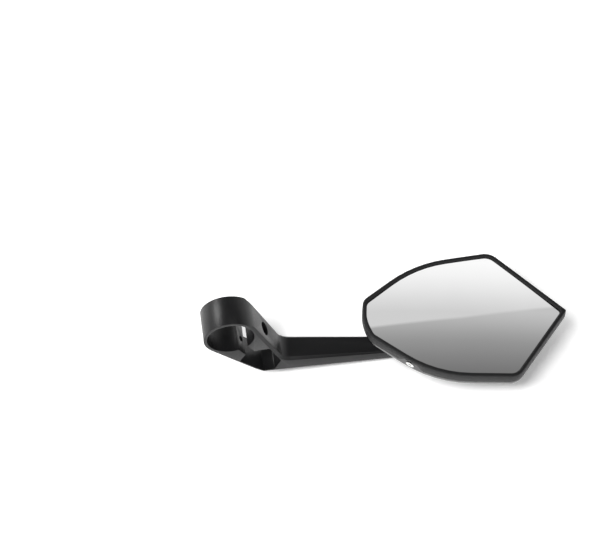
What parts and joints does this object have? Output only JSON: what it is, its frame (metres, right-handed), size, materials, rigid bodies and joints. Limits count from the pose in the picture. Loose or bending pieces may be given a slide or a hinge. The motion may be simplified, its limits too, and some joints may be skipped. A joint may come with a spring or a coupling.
{
  "type": "motorcycle mirror",
  "caption": "Handlebar mirror: a cast clamp arm with a split ring carries a pointed, wing-shaped convex mirror head on an adjustable ball joint.",
  "frame": {"origin": "middle of the clamp bore", "axes": "+Y along the handlebar, +X from the bore towards the mirror head, +Z towards the side that the glass faces"},
  "size_m": [0.2443, 0.0897, 0.0751],
  "materials": {
    "arm_coat": "satin black coat on a cast aluminium arm",
    "stud_steel": "blackened turned steel",
    "liner_nylon": "natural nylon",
    "socket_metal": "black anodised die casting",
    "screw_steel": "bright stainless steel",
    "shell_gloss": "glossy black moulded ABS",
    "frame_matte": "fine textured black moulded ABS",
    "carrier_plastic": "black moulded ABS",
    "pad_foam": "dark grey adhesive foam",
    "mirror_face": "silvered convex glass"
  },
  "bodies": {
    "arm_body": {"arm": "arm_coat", "ball_stud": "stud_steel"},
    "tilt_ring": {"liner_rear": "liner_nylon"},
    "swivel_ring": {"liner_front": "liner_nylon"},
    "head": {"socket": "socket_metal", "socket_cap": "socket_metal", "cap_screws": "screw_steel", "back_shell": "shell_gloss", "front_frame": "frame_matte", "frame_screw": "screw_steel", "carrier": "carrier_plastic", "carrier_screws": "screw_steel", "glass_pad": "pad_foam", "mirror_glass": "mirror_face"}
  },
  "joints": [
    {"name": "head_tilt", "type": "hinge", "parent": "arm_body", "child": "tilt_ring", "pos_m": [0.13, 0, -0.03166], "axis": [1, 0, 0], "range_deg": [-26, 2]},
    {"name": "head_swivel", "type": "hinge", "parent": "tilt_ring", "child": "swivel_ring", "pos_m": [0.13, 0, -0.03166], "axis": [0, 0.9781, 0.2079], "range_deg": [-12, 12]},
    {"name": "head_spin", "type": "hinge", "parent": "swivel_ring", "child": "head", "pos_m": [0.13, 0, -0.03166], "axis": [0, -0.2079, 0.9781], "range_deg": [-15, 15]}
  ]
}
